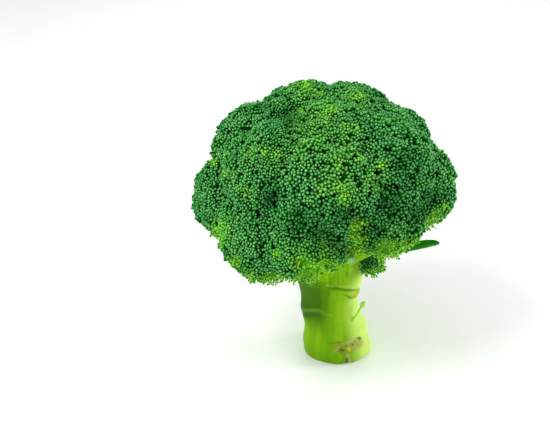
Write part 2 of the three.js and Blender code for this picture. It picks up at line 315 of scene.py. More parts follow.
def setCamera():
    tilt = math.radians(view["elevation"])
    back = Vector((0, -math.cos(tilt), math.sin(tilt)))
    upward = Vector((0, math.sin(tilt), math.cos(tilt)))
    focal = view["lens"] / view["sensor"] * view["pixels"][0]
    ahead = -back * focal + upward * view["aimPixelsDown"]
    ahead = ahead - Vector((1, 0, 0)) * view["aimPixelsRight"]
    camera = bpy.data.objects.new("camera", bpy.data.cameras.new("camera"))
    camera.data.lens = view["lens"]
    camera.data.sensor_width = view["sensor"]
    camera.data.clip_start = 0.01
    camera.location = (Vector(view["aim"]) + back * view["distance"]) * mm
    camera.rotation_euler = ahead.to_track_quat("-Z", "Y").to_euler()
    bpy.context.scene.collection.objects.link(camera)
    bpy.context.scene.camera = camera


lights = {
    "overhead": {"place": (-470, -380, 760), "size": 440, "watts": 5.1},
    "right": {"place": (620, 40, 210), "size": 300, "watts": 1.9},
    "behind": {"place": (60, 700, 420), "size": 500, "watts": 1.0},
}
lampTarget = Vector((0, 0, 80))  # all lamps point at the crown
skyStrength = 0.72


def setLights():
    for name, spec in lights.items():
        lamp = bpy.data.lights.new(name, "AREA")
        lamp.size = spec["size"] * mm
        lamp.energy = spec["watts"]
        made = bpy.data.objects.new(name, lamp)
        made.location = Vector(spec["place"]) * mm
        made.rotation_euler = (lampTarget - Vector(spec["place"])).to_track_quat("-Z", "Y").to_euler()
        bpy.context.scene.collection.objects.link(made)
    world = bpy.data.worlds.new("studio")
    world.use_nodes = True
    world.node_tree.nodes["Background"].inputs["Color"].default_value = (1, 1, 1, 1)
    world.node_tree.nodes["Background"].inputs["Strength"].default_value = skyStrength
    bpy.context.scene.world = world
    bpy.context.scene.view_settings.view_transform = "Standard"


floorSpec = {
    "half": 3000,  # of its width
    "below": 0.02,  # how far it lies under the cut end
    "lightGrey": (250, 250, 250),
    "darkGrey": (246, 247, 246),
    "grain": 30,
}


def makeFloor():
    shader = Shader("floor_white", {"Roughness": 0.6, "Specular IOR Level": 0.2})
    grain = shader.noise(shader.place(), floorSpec["grain"])
    tint = shader.mix(grain, floorSpec["lightGrey"], floorSpec["darkGrey"])
    corners = np.array([[-1, -1, 0], [1, -1, 0], [1, 1, 0], [-1, 1, 0]]) * float(floorSpec["half"])
    corners = corners - [0, 0, floorSpec["below"]]
    meshFrom("floor", corners, [np.arange(4)[None]], shader.finish({"Base Color": tint}))


setCamera()
setLights()
makeFloor()
print("camera, lights and floor made")


# The crown: florets whose domes touch an ellipsoid from inside, as the part lays them out. For each one:
# azimuth, elevation, reach as a share of the ellipsoid, the dome's radius, height of the fork, distance
# between buds, and looseness
crown = {"centre": np.array([-9.0, 0, 103]), "semiAxes": np.array([75.0, 72, 57])}
florets = {
    "floret_top_front": (-72, 56, 0.99, 32, 78, 1.66, 0.2),
    "floret_top_right": (48, 56, 1.0, 29, 80, 1.64, 0.2),
    "floret_top_left": (132, 56, 1.0, 32, 80, 1.62, 0.2),
    "floret_mid_front": (-88, 20, 1.0, 33, 66, 1.88, 0.3),
    "floret_mid_front_left": (-135, 28, 0.99, 29, 68, 1.62, 0.3),
    "floret_mid_left": (168, 28, 0.97, 26, 66, 1.6, 0.3),
    "floret_mid_back_left": (118, 22, 1.0, 30, 64, 1.72, 0.3),
    "floret_mid_back": (75, 22, 1.0, 30, 66, 1.72, 0.3),
    "floret_mid_right": (22, 27, 0.945, 26, 68, 1.76, 0.3),
    "floret_mid_front_right": (-30, 28, 0.99, 30, 66, 1.86, 0.3),
    "floret_low_front_right": (-50, 3, 0.965, 24, 50, 1.82, 1.0),
    "floret_low_right": (-3, 4.5, 0.965, 26, 52, 1.82, 1.0),
    "floret_low_front": (-102, -13, 0.965, 25, 50, 1.78, 1.0),
    "floret_low_front_left": (-134, -18, 0.985, 28, 48, 1.72, 0.7),
    "floret_low_left": (181, -7, 0.98, 26, 52, 1.7, 0.7),
    "floret_low_back_left": (138, -8, 1.0, 26, 48, 1.8, 0.8),
    "floret_low_back": (92, -8, 1.0, 27, 50, 1.8, 0.8),
    "floret_low_back_right": (44, -6, 0.98, 26, 52, 1.8, 0.8),
}
hanging = {
    "name": "floret_hanging_small",
    "centre": np.array([17.8, -12, 64]),
    "turn": np.array([8.0, -4, 66]),
    "radius": 7.8,
    "fork": 36,
    "pitch": 1.45,
    "loose": 1.0,
}
dome = {
    "backDepth": 0.36,  # how far the flat back lies behind the middle, as a share of the radius
    "mounds": 9,
    "moundHeight": 1.5,
    "moundReach": 0.5,  # radians
    "moundSpread": 1.45,  # radians
    "widest": 119,
    "fullRelief": 14,  # smaller domes have their mounds scaled down with them
    "neighbourMargin": 5,
    "hollowDepth": 2.4,
}


# The stalk's middle line bends to the left twice: how far, and between which heights
stalkBends = {"waist": (5, 0, 30), "crown": (4, 50, 90)}


def stalkMiddle(height):
    height = np.asarray(height, float)
    aside = 0 * height
    for shift, low, high in stalkBends.values():
        aside = aside - shift * rise(low, high, height)
    return np.stack([aside, 0 * height, height], -1)


# Where each floret stands. A direction meets the ellipsoid at 1 / |direction / semi-axes| from its middle,
# and the dome's middle lies one radius short of the floret's share of that.
def placeFlorets():
    places = []
    for name, (azimuth, elevation, reach, radius, fork, pitch, loose) in florets.items():
        turn, lift = math.radians(azimuth), math.radians(elevation)
        level = math.cos(lift)
        outward = np.array([level * math.cos(turn), level * math.sin(turn), math.sin(lift)])
        centre = crown["centre"] + outward * (reach / np.linalg.norm(outward / crown["semiAxes"]) - radius)
        place = {"name": name, "centre": centre, "turn": stalkMiddle(fork), "radius": radius, "fork": fork}
        places.append({**place, "pitch": pitch, "loose": loose})
    places.append(dict(hanging))
    for place in places:
        place["axis"] = unit(place["centre"] - place["turn"])
        place["back"] = place["centre"] - dome["backDepth"] * place["radius"] * place["axis"]
        place["relief"] = min(1, place["radius"] / dome["fullRelief"])
    for place in places:
        place["creases"] = creasesOf(place, places)
    return places


# Where a dome meets its neighbours: the direction to each one and how far off the crease between them
# lies, (d^2 + r^2 - s^2) / 2d for domes of radius r and s whose middles are d apart.
def creasesOf(place, places):
    creases = []
    for other in places:
        apart = other["centre"] - place["centre"]
        distance = np.linalg.norm(apart)
        if 0 < distance < place["radius"] + other["radius"] + dome["neighbourMargin"]:
            depth = (distance**2 + place["radius"] ** 2 - other["radius"] ** 2) / (2 * distance)
            creases.append((apart / distance, depth))
    return creases


# Low mounds on a dome: it swells by the mound's height where the angle to the nearest mound is small.
def moundSwell(directions, place):
    number = np.arange(dome["mounds"]) + 0.5
    spread = np.sqrt(number / dome["mounds"]) * dome["moundSpread"]
    around = (number - 0.5) * goldenAngle
    out = np.sin(spread)
    mounds = np.column_stack([out * np.cos(around), out * np.sin(around), np.cos(spread)])
    mounds = mounds @ turnTo(place["axis"]).T
    nearest = np.arccos(np.clip((directions @ mounds.T).max(1), -1, 1))
    return dome["moundHeight"] * (1 - rise(0.05, dome["moundReach"], nearest))


# Places on the crown, read from the photo: pixels to the right and down, and the pixels that each
# one reaches.
marks = {
    # Bright yellow-green clusters of young buds
    "young": [
        (316, 91, 4), (303, 85, 8), (299, 110, 3), (325, 113, 6), (330, 108, 4), (343, 126, 5),
        (345, 138, 4), (354, 126, 4), (336, 164, 5), (338, 184, 7), (346, 195, 8), (322, 189, 6),
        (379, 164, 6), (357, 158, 4), (262, 151, 5), (276, 156, 4), (212, 163, 5), (245, 193, 5),
        (278, 254, 4), (356, 94, 5), (219, 228, 7), (221, 240, 6), (235, 263, 6), (251, 277, 6),
        (298, 259, 7), (436, 214, 7), (443, 203, 5), (384, 264, 5), (376, 271, 5), (366, 272, 4),
        (387, 254, 5),
    ],
    # Wide patches that are a little yellower than the rest
    "warm": [
        (318, 118, 22), (322, 136, 15), (303, 130, 14), (298, 146, 15), (340, 180, 20), (275, 160, 13),
        (340, 158, 14), (372, 178, 14), (350, 138, 12), (300, 88, 14), (352, 94, 12), (222, 232, 12),
        (300, 260, 16), (320, 262, 12), (250, 152, 9), (226, 173, 8), (398, 240, 16), (325, 252, 14),
    ],
    # Hollows between clusters, where one looks down into the dark
    "hollow": [
        (276, 193, 5), (268, 200, 4), (242, 197, 5), (229, 206, 4), (277, 115, 6), (245, 131, 5),
        (289, 105, 5), (394, 157, 8), (385, 153, 5), (401, 164, 6), (362, 148, 5), (312, 158, 4),
        (337, 175, 5), (320, 231, 7), (310, 228, 5), (329, 233, 6), (300, 217, 6), (318, 204, 4),
        (389, 211, 5), (378, 228, 7), (368, 234, 5), (336, 238, 4), (334, 204, 4), (396, 190, 5),
        (351, 111, 4), (402, 132, 5), (410, 174, 4), (353, 210, 5), (371, 259, 6), (399, 220, 5),
        (298, 242, 4), (332, 141, 6), (283, 159, 5), (225, 143, 4), (258, 175, 4), (232, 220, 4),
        (262, 246, 5), (430, 170, 4), (420, 205, 5), (296, 187, 4), (355, 176, 4), (369, 187, 4),
    ],
    # Wide patches that are darker than the rest: painted shade where the crown lies in shadow
    "deep": [
        (320, 232, 20), (300, 222, 16), (392, 205, 20), (378, 230, 14), (400, 160, 14), (345, 212, 16),
        (415, 212, 14), (288, 118, 14), (272, 198, 12), (335, 243, 14), (368, 258, 7), (430, 195, 12),
    ],
    # Strips and rims where the buds stand apart and their stems show
    "frayed": [
        (358, 225, 7), (355, 236, 6), (358, 248, 7), (364, 238, 4), (395, 246, 7), (407, 245, 7),
        (418, 240, 7), (384, 247, 7), (431, 220, 6), (436, 214, 5), (300, 262, 6), (310, 265, 7),
        (325, 264, 7), (336, 266, 6), (236, 263, 5), (266, 281, 6), (275, 282, 7), (251, 278, 5),
        (371, 271, 4), (379, 270, 5), (385, 262, 5), (385, 254, 5),
    ],
    # Openings with hardly any buds, where the green skin under them shows
    "bare": [
        (304, 278, 7), (313, 276, 8), (322, 275, 8), (331, 277, 7), (338, 276, 6), (344, 270, 5),
        (353, 260, 6), (357, 256, 5),
    ],
}


# Where the photo shows some points, in its pixels.
def asShown(points):
    tilt = math.radians(view["elevation"])
    apart = points + cutEnd - view["aim"]
    depth = view["distance"] + apart[:, 1] * math.cos(tilt) - apart[:, 2] * math.sin(tilt)
    scale = view["lens"] / view["sensor"] * view["pixels"][0] / depth
    above = apart[:, 1] * math.sin(tilt) + apart[:, 2] * math.cos(tilt)
    middle = view["pixels"] / 2 + [view["aimPixelsRight"], view["aimPixelsDown"]]
    return middle + np.column_stack([apart[:, 0], -above]) * scale[:, None]


# How strongly the nearest mark of a kind acts at each point: exp(-(distance / reach)^2). The half that the
# photo doesn't show has the same marks, turned half round. A point belongs to the half ahead where
# 0.45 z - 0.89 y > 0 from the crown's middle, which is about the camera's direction, and below that
# middle where y < 0.
def markStrength(points, kind, bothSides=True):
    fromMiddle = points - crown["centre"]
    ahead = np.maximum(fromMiddle[:, 2], 0) * 0.45 - fromMiddle[:, 1] * 0.89 > 0
    turned = fromMiddle * np.where(ahead, 1, -1)[:, None] * [1, 1, 0] + fromMiddle * [0, 0, 1]
    spots = np.array(marks[kind], float)
    apart = np.linalg.norm(asShown(turned + crown["centre"])[:, None] - spots[None, :, :2], axis=2)
    strongest = np.exp(-((apart / spots[:, 2]) ** 2)).max(1)
    return strongest if bothSides else strongest * ahead


clusters = {
    "pitch": 4.2,  # distance between clusters, in bud distances
    "widest": 128,  # degrees from the floret's axis to the last middles
    "middlesUneven": 0.2,  # how far the middles are moved at random, as a share of their distance
    "buds": 38,  # laid out round each middle, before those beyond its border are left out
    "spiral": 0.525,  # a cluster's n-th bud lies this many distances times sqrt(n) from its middle
    "budsUneven": 0.1,  # how far the buds are moved at random, as a share of theirs
    "lift": 0.95,  # how far a cluster's middle stands out
    "uneven": 0.5,  # how much the clusters differ in height
    "sunk": 1.0,  # how far the buds' middles lie below the dome's surface
    "rounds": 4,  # of easing buds apart
    "room": 1.02,  # buds nearer than this share of their distance push each other apart
    "least": 0.64,  # and one of two that stay nearer than this is left out
    "bordersDropped": 0.14,  # share of the buds that are missing at a cluster's border
    "hollowsDropped": 0.12,  # and in hollows
}


# How far apart some directions are on a dome, each from each: r sqrt(2 - 2 cos).
def gaps(directions, radius):
    apart = radius * np.sqrt(np.maximum(2 - 2 * directions @ directions.T, 1e-6))
    np.fill_diagonal(apart, np.inf)
    return apart


# Which directions lie inside the creases with the neighbours, at a given reach from the middle.
def insideCreases(place, directions, reach, margin):
    inside = np.ones(len(directions), bool)
    for apart, depth in place["creases"]:
        inside &= (directions @ apart) * reach < depth + margin
    return inside


# Buds of one floret, laid out cluster by cluster. The clusters lie evenly on the dome, each bud belongs
# to the nearest one, and the buds of a cluster follow a spiral: r = spiral pitch sqrt(n), turned by the
# golden angle. Then buds that stand too near each other for their sizes are eased apart. Returns
# directions, cluster numbers, how far each bud is from its cluster's middle, sizes, and the middles.
def budLayout(place, chance):
    radius, pitch = place["radius"], place["pitch"]
    spacing = clusters["pitch"] * pitch
    count = round(4 * math.pi * radius**2 / (0.866 * spacing**2))
    jitter = clusters["middlesUneven"] * spacing / radius
    middles = evenDirections(count, clusters["widest"], jitter, chance) @ turnTo(place["axis"]).T
    first, second = sideways(middles)
    number = np.arange(clusters["buds"])
    out = clusters["spiral"] * pitch * np.sqrt(number + 0.15)
    around = number[None] * goldenAngle + chance.uniform(0, 2 * math.pi, (len(middles), 1))
    along, aside = out * np.cos(around), out * np.sin(around)
    spots = middles[:, None] * radius + along[..., None] * first[:, None]
    spots = spots + aside[..., None] * second[:, None]
    spots = spots.reshape(-1, 3) / radius
    directions = unit(spots + chance.normal(0, clusters["budsUneven"] * pitch / radius, spots.shape))
    owner = np.repeat(np.arange(len(middles)), len(number))
    kept = (directions @ middles.T).argmax(1) == owner
    kept &= insideCreases(place, directions, radius, pitch)
    directions, owner = directions[kept], owner[kept]
    sizes = chance.uniform(*bud["sizes"], len(owner))
    fair = pitch * (sizes[:, None] + sizes) / 2
    for _ in range(clusters["rounds"]):
        push = np.clip(clusters["room"] * fair / gaps(directions, radius) - 1, 0, 2)
        directions = unit(directions + 0.25 * (push.sum(1)[:, None] * directions - push @ directions))
    crowded = gaps(directions, radius) < clusters["least"] * fair
    kept = ~np.tril(crowded).any(1)
    directions, owner, sizes = directions[kept], owner[kept], sizes[kept]
    own = radius * np.arccos(np.clip(np.sum(directions * middles[owner], 1), -1, 1))
    return directions, owner, own, sizes, middles


# The dome's surface at some directions, without its buds.
def domeSurface(directions, place):
    surface = place["radius"] + moundSwell(directions, place) * place["relief"]
    hollow = markStrength(place["centre"] + directions * surface[:, None], "hollow")
    return surface - dome["hollowDepth"] * hollow * place["relief"]


frayed = {
    "rimStart": 84,  # degrees from the floret's axis
    "rimEnd": 112,
    "lowerStart": 0.36,  # how far a direction points down
    "lowerEnd": 0.8,
    "depth": 1.8,  # how far the core steps back under loose buds
    "bareDepth": 6.5,  # and in openings
    "budsDepth": (-2.2, 1.8),  # how far loose buds sink in, or stand out
    "bareBudsDepth": (3.0, 5.5),  # and the few buds in openings
    "dropped": 0.5,  # share of the buds that are missing where the floret is loosest
    "thinner": 0.36,  # how much smaller the loosest buds are
    "onStems": 0.15,  # buds at least this loose have stems of their own
}


# How frayed a floret is at some directions, and how bare, both from 0 to 1. It is frayed round its rim, on
# the side that faces down, and at the marks: there its buds stand apart and their stems show.
def frayedAt(place, directions):
    angles = np.degrees(np.arccos(np.clip(directions @ place["axis"], -1, 1)))
    rim = rise(frayed["rimStart"], frayed["rimEnd"], angles) * (0.4 + 0.6 * place["loose"])
    lower = rise(frayed["lowerStart"], frayed["lowerEnd"], -directions[:, 2]) * place["loose"]
    points = place["centre"] + directions * place["radius"]
    strips = markStrength(points, "frayed", bothSides=False)
    bare = markStrength(points, "bare", bothSides=False)
    return np.maximum(np.maximum(rim, lower), strips), rise(0.25, 0.75, bare)


bud = {
    "sides": 6,
    "heights": np.array([-0.95, -0.15, 0.52]),  # rings from the base up, in half widths of the bud
    "radii": np.array([0.40, 1.0, 0.72]),
    "tip": 0.95,
    # The dark base is partly painted shade between the buds, and the pale tip partly a painted highlight
    "light": np.array([0.0, 0.34, 0.68]),  # from the base's colour to the tip's
    "halfWidth": 0.54,  # in distances between buds
    "sizes": (0.68, 1.28),
    "lengths": (1.0, 1.4),
    "uneven": 0.24,  # how much the buds differ in depth, in distances between buds
    "lean": 0.26,
    "fan": 0.16,  # how far the outer buds of a cluster point away from its middle
}


# The points and faces of one bud, pointing along +Z.
def budTemplate():
    sides = bud["sides"]
    around = turns(sides)
    ring, level = bud["radii"][:, None], bud["heights"][:, None]
    rings = np.stack([ring * np.cos(around), ring * np.sin(around), level + 0 * around], -1)
    points = np.concatenate([rings.reshape(-1, 3), [[0, 0, bud["tip"]]]])
    side = np.arange(sides)
    top = (len(bud["heights"]) - 1) * sides
    tip = len(points) - 1
    quads = gridFaces(len(bud["heights"]), sides)
    fan = np.column_stack([np.full(sides, tip), top + side, top + (side + 1) % sides])
    base = side[::-1][None]
    light = np.concatenate([np.repeat(bud["light"], sides), [1.0]])
    return points, quads, fan, base, light


# Copies of the bud at many places: size, direction and roll differ from bud to bud.
def budsAt(places, directions, halfWidths, lengths, chance):
    points, quads, fan, base, light = budTemplate()
    roll = chance.uniform(0, 2 * math.pi, (len(places), 1))
    across, aside = sideways(directions)
    first = np.cos(roll) * across + np.sin(roll) * aside
    second = np.cross(directions, first)
    spread = points[None, :, :2] * halfWidths[:, None, None]
    upward = points[None, :, 2:] * (halfWidths * lengths)[:, None, None]
    made = places[:, None] + spread[..., :1] * first[:, None] + spread[..., 1:] * second[:, None]
    made = made + upward * directions[:, None]
    starts = (np.arange(len(places)) * len(points))[:, None, None]
    faces = [(kind[None] + starts).reshape(-1, kind.shape[1]) for kind in (quads, fan, base)]
    return made.reshape(-1, 3), faces, np.tile(light, len(places)), len(points)


core = {"depth": 1.7, "rings": 36, "sides": 56}


# The core under the buds: a polar grid whose radius is the least of the dome's surface less the depth,
# the creases with the neighbours and the flat back. It steps back where the floret is frayed.
def corePoints(place):
    rings, sides = core["rings"], core["sides"]
    tilt = np.linspace(0, math.pi, rings + 2)[1:-1]
    around = turns(sides)
    out = np.sin(tilt)[:, None]
    grid = np.stack([out * np.cos(around), out * np.sin(around), np.cos(tilt)[:, None] + 0 * around], -1)
    directions = np.concatenate([grid.reshape(-1, 3), [[0, 0, 1], [0, 0, -1]]]) @ turnTo(place["axis"]).T
    loose, bare = frayedAt(place, directions)
    stepBack = np.maximum(frayed["depth"] * loose, frayed["bareDepth"] * bare)
    reach = domeSurface(directions, place) - (core["depth"] + stepBack * place["relief"])
    for apart, depth in place["creases"]:
        facing = directions @ apart
        reach = np.where(facing > 0.05, np.minimum(reach, (depth - 0.1) / np.maximum(facing, 0.05)), reach)
    facing = -(directions @ place["axis"])
    flat = dome["backDepth"] * place["radius"] / np.maximum(facing, 0.05)
    reach = np.where(facing > 0.05, np.minimum(reach, flat), reach)
    quads, fans = closedFaces(rings, sides)
    under = np.maximum(rise(0.15, 0.75, loose), bare)
    return place["centre"] + directions * reach[:, None], quads[:, ::-1], fans[:, ::-1], under


# Colours of the buds and the core, in pairs from a bud's base to its tip or from dull to bright. The buds'
# dark bases are partly painted shade in the gaps and their pale tips partly painted highlight; shaded and
# the core's dark between its dots are painted shade.
budColours = {
    "base": ((0, 48, 0), (0, 62, 0)),
    "side": ((0, 104, 20), (6, 112, 0)),
    "brightSide": (42, 142, 16),
    "tip": ((142, 222, 172), (154, 228, 130)),
    "shaded": (0, 54, 2),
    "young": ((36, 140, 0), (146, 228, 50)),
    "deeperBuds": ((14, 96, 22), (0, 36, 0)),
    "flesh": ((64, 156, 0), (122, 206, 26)),
}
deeperPitch = 1.7  # distance between the buds that show as a pattern on the core


def budFinish():
    shader = Shader("broccoli_buds", {"Specular IOR Level": 0.06})
    tip, young, tone = shader.value("tip"), shader.value("young"), shader.value("tone")
    under, shade, spot = shader.value("under"), shader.value("shade"), shader.place()
    drift = shader.step(0.35, 0.65, shader.noise(spot, 26))
    fine = shader.noise(spot, 0.5, 3)
    deep = shader.mix(tone, *budColours["base"])
    green = shader.mix(drift, *budColours["side"])
    green = shader.mix(tone * 0.5, green, budColours["brightSide"])
    pale = shader.mix(tone, *budColours["tip"])
    # Painted shade and highlight: each bud, the young ones too, darkens towards its base, where the gaps
    # are, and turns pale at its tip, partly its own paler tip.
    body = shader.mix(shader.step(0.0, 0.55, tip), deep, green)
    body = shader.mix(shader.step(0.55, 1.0, tip) * (0.3 + 0.7 * tone), body, pale)
    # Painted shade in the deep patches
    body = shader.mix(shade * 0.45, body, budColours["shaded"])
    fresh = shader.mix(shader.step(0.0, 0.9, tip), *budColours["young"])
    body = shader.mix(young, body, fresh)

    # The core has no tips. It looks like deeper buds: a pale dot in each cell of a fine pattern, and between
    # the dots painted shade, the dark of the gaps between the buds.
    cells = shader.node("TexVoronoi", {}, {"Vector": spot, "Scale": 1 / deeperPitch})
    onCore = 1 - shader.step(0.0, 0.01, tip + under)
    deeper = shader.mix(shader.step(0.1, 0.6, cells), *budColours["deeperBuds"])
    body = shader.mix(onCore * (1 - shader.step(0.0, 0.05, young)), body, deeper)
    streaks = shader.noise(spot, 1.6, 3)
    flesh = shader.mix(shader.step(0.35, 0.65, streaks), *budColours["flesh"])
    body = shader.mix(under, body, flesh)
    sockets = {"Base Color": body, "Roughness": 0.42 + 0.2 * fine}
    return shader.finish(sockets, fine - 2 * onCore * cells, 0.05)


stemColours = {"root": (102, 186, 10), "tip": (184, 236, 84), "blotch": (80, 160, 0)}


def stemFinish():
    shader = Shader("broccoli_stems", {"Specular IOR Level": 0.3})
    along, spot = shader.value("along"), shader.place()
    tint = shader.mix(along, stemColours["root"], stemColours["tip"])
    tint = shader.mix(shader.noise(spot, 1.5, 3) * 0.25, tint, stemColours["blotch"])
    return shader.finish({"Base Color": tint, "Roughness": 0.5}, shader.noise(spot, 0.4), 0.05)


# The buds that a floret has, each at its depth: a cluster's middle stands out by lift (1 - (own / half)^2),
# loose buds sink in or stand out, and some are missing. Returns one array for each property of the buds,
# and the number of clusters.
def standingBuds(place, chance):
    pitch = place["pitch"]
    directions, owner, own, sizes, middles = budLayout(place, chance)
    clusterHalf = 0.5 * clusters["pitch"] * pitch
    cap = clusters["lift"] * (1 - np.minimum(own / clusterHalf, 1.3) ** 2)
    uneven = chance.uniform(-1, 1, len(middles))[owner] * clusters["uneven"]
    surface = domeSurface(directions, place) + (cap + uneven - clusters["sunk"]) * place["relief"]
    surface = surface + chance.normal(0, bud["uneven"] * pitch, len(owner))
    loose, bare = frayedAt(place, directions)
    sunk = loose * chance.uniform(*frayed["budsDepth"], len(owner))
    sunk = sunk + bare * chance.uniform(*frayed["bareBudsDepth"], len(owner))
    surface = surface - sunk * place["relief"]
    angles = np.degrees(np.arccos(np.clip(directions @ place["axis"], -1, 1)))
    hollow = markStrength(place["centre"] + directions * surface[:, None], "hollow")
    border = rise(0.75, 1.0, own / clusterHalf) * clusters["bordersDropped"]
    missing = np.maximum(frayed["dropped"] * loose, 0.9 * bare)
    missing = np.maximum(missing, np.maximum(clusters["hollowsDropped"] * hollow, border))
    inside = (angles < dome["widest"]) & (chance.random(len(owner)) > missing)
    inside &= insideCreases(place, directions, surface, 0.05 * pitch)
    standing = {
        "directions": directions,
        "spots": place["centre"] + directions * surface[:, None],
        "fan": (directions - middles[owner]) * place["radius"] / clusterHalf,
        "loose": np.maximum(loose, bare),
        "sizes": sizes,
        "owner": owner,
    }
    return {key: value[inside] for key, value in standing.items()}, len(middles)


# How young, how bright and how shaded each bud is, from 0 to 1.
def budTints(spots, loose, owner, clusterCount, chance):
    freshness = chance.uniform(0.25, 1.0, len(owner))
    young = np.maximum(markStrength(spots, "young"), 0.36 * markStrength(spots, "warm"))
    young = np.maximum(young, rise(0.05, 0.55, loose)) * freshness
    tone = chance.random(clusterCount)[owner] * 0.45 + chance.random(len(owner)) * 0.55
    # Painted shade from the deep patches; it also lowers each bud's brightness.
    shade = markStrength(spots, "deep")
    return young, tone * (1 - 0.6 * shade), shade


# One floret: its core with the buds on it as one piece, and the little stems of its loose buds as another.
def makeFloret(place, finish, stems, chance):
    standing, clusterCount = standingBuds(place, chance)
    directions, spots, loose = standing["directions"], standing["spots"], standing["loose"]
    lean = chance.normal(0, bud["lean"], directions.shape) * (1 + 1.2 * loose[:, None])
    pointing = unit(directions + bud["fan"] * standing["fan"] + lean)
    halfWidths = bud["halfWidth"] * place["pitch"] * standing["sizes"] * (1 - frayed["thinner"] * loose)
    lengths = chance.uniform(*bud["lengths"], len(spots))
    points, faces, light, per = budsAt(spots, pointing, halfWidths, lengths, chance)
    young, tone, shade = budTints(spots, loose, standing["owner"], clusterCount, chance)

    corePlaces, coreQuads, coreFans, under = corePoints(place)
    coreCount = len(corePlaces)
    none = np.zeros(coreCount)
    values = {
        "tip": np.concatenate([none, light]),
        "young": np.concatenate([none, np.repeat(young, per)]),
        "tone": np.concatenate([none + 0.5, np.repeat(tone, per)]),
        "shade": np.concatenate([none, np.repeat(shade, per)]),
        "under": np.concatenate([under, np.zeros(len(light))]),
    }
    faceSets = [coreQuads, coreFans] + [kind + coreCount for kind in faces]
    allPoints = np.concatenate([corePlaces, points])
    buds = meshFrom(place["name"].replace("floret", "buds"), allPoints, faceSets, finish, values)
    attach(buds, "root")
    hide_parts(place["name"])
    onStems = loose > frayed["onStems"]
    if onStems.sum() > 3:
        tips = (spots - pointing * (halfWidths * lengths * 0.6)[:, None])[onStems]
        makeStems(place, directions[onStems], tips, stems, chance)
    return len(spots)


stemlets = {
    "start": 0.74,  # share of the way from the dome's middle to the bud
    "radii": np.array([0.6, 0.42, 0.36, 0.44]),
    "sides": 5,
    "uneven": 0.5,
}


# The stems of loose buds: thin tubes that start deeper in the floret, nearer to its axis, and bend out.
def makeStems(place, directions, tips, finish, chance):
    radius, axis, centre = place["radius"], place["axis"], place["centre"]
    roots = centre + (tips - centre) * stemlets["start"] - axis * 0.05 * radius
    roots = roots + chance.normal(0, stemlets["uneven"] * place["relief"], roots.shape)
    bends = (roots + tips) / 2 + (directions * 0.07 + axis * 0.04) * radius
    bends = bends + chance.normal(0, 1.2 * stemlets["uneven"] * place["relief"], bends.shape)
    profile = stemlets["radii"] * max(place["relief"], 0.75)
    thick = profile[None] * chance.uniform(0.8, 1.2, (len(tips), 1))
    points, quads, caps = tubes(roots, bends, tips, thick, stemlets["sides"])
    along = np.tile(np.repeat(np.linspace(0, 1, len(profile)), stemlets["sides"]), len(tips))
    name = place["name"].replace("floret", "stems")
    made = meshFrom(name, points, [quads, caps], finish, {"along": along})
    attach(made, "root")


places = placeFlorets()
budMaterial = budFinish()
stemMaterial = stemFinish()
budCount = 0
for n, place in enumerate(places):
    budCount += makeFloret(place, budMaterial, stemMaterial, np.random.default_rng(40 + n))
print("florets made,", budCount, "buds")


# The stalk: swellings and grooves as angle, width of the reach to either side, height, change of height
# with each degree, reach below, reach above, and how far each stands out or sinks in
stalk = {
    "radius": 18,
    # The waist, the widening above it, and the taper up to the top: each one's change of the radius, and
    # the heights where it starts and ends
    "steps": [(-2, 7, 20), (3.2, 34, 54), (-10, 64, 84)],
    # Faint ribs: how far they stand out, how many there are, and their turn with the height, in radians
    "ribs": [(0.3, 5, 0.05), (0.25, 3, -0.09)],
    "footRounding": (0.9, 1.2),  # how far the edge of the cut end is drawn in, and up to which height
    "swellings": [
        (-12, 75, 20, 0, 40, 22, 1.9), (-5, 50, 19, 0, 6, 8, 2.4), (-28, 52, 5, 0, 12, 6, 0.5),
        (-84, 48, 7.5, 0, 12, 2.2, 1.8), (-60, 50, 47.6, -0.1, 9, 2.2, 2.6), (-36, 26, 42.5, 0, 4, 4, 1.2),
        (-135, 58, 31, 0.07, 2.4, 9, 1.9), (185, 75, 4, 0, 14, 16, 2.0), (192, 70, 60, 0, 16, 16, 2.4),
        (105, 60, 24, 0, 12, 3, 2.0),
    ],
    "grooves": [(-94.5, 13, 52, 0, 20, 14, 1.7), (-72, 12, 0, 0, 1, 6.5, 1.9)],
    "top": 84,
    "rows": 150,
    "sides": 160,
    "voxel": 1.0,
    "branchRadii": np.array([8.5, 8, 7.4, 7.6, 9.6, 13.5, 18.5]),
    "openRadii": np.array([8.5, 8, 7.4, 7.0, 6.6, 5.6, 3.5]),  # where branchlets take over the flare
    "branchSteps": 25,
    "branchSides": 20,
    "fullDome": 27,  # branches to smaller domes are thinner
    "rootDepth": 26,  # how far below its fork a branch starts
    "shoot": np.array([[7.6, -10, 23.5], [11.0, -12.5, 30.5], [15.2, -9.5, 37.3]]),  # root, bend and tip
    "shootSteps": 37,
    "shootSides": 14,
    "shootRadii": np.array([1.1, 0.85, 0.7, 0.62, 0.58, 0.56, 0.55, 0.55, 0.56, 0.6, 0.8, 1.5, 1.6, 0.6]),
}


# How strongly a mark acts at an angle and height: 1 at its middle, fading smoothly to 0 at its width to
# either side and at its reach above and below.
def strength(mark, angle, height):
    middle, width, level, slope, below, above = mark[:6]
    apart = angle - math.radians(middle)
    aside = np.degrees(np.arctan2(np.sin(apart), np.cos(apart)))
    along = height - level - slope * aside
    reach = np.where(along < 0, below, above)
    return (1 - rise(0, width, np.abs(aside))) * (1 - rise(0, 1, np.abs(along) / reach))


# The stalk's radius round its middle line: smooth steps with the height, ribs d cos(n angle + t height), and
# the marks.
def stalkRadius(angle, height):
    radius = stalk["radius"]
    for change, low, high in stalk["steps"]:
        radius = radius + change * rise(low, high, height)
    for depth, count, twist in stalk["ribs"]:
        radius = radius + depth * np.cos(count * angle + twist * height)
    for mark in stalk["swellings"]:
        radius = radius + mark[6] * strength(mark, angle, height)
    for mark in stalk["grooves"]:
        radius = radius - mark[6] * strength(mark, angle, height)
    inward, upTo = stalk["footRounding"]
    return radius - inward * (1 - rise(0, upTo, height))


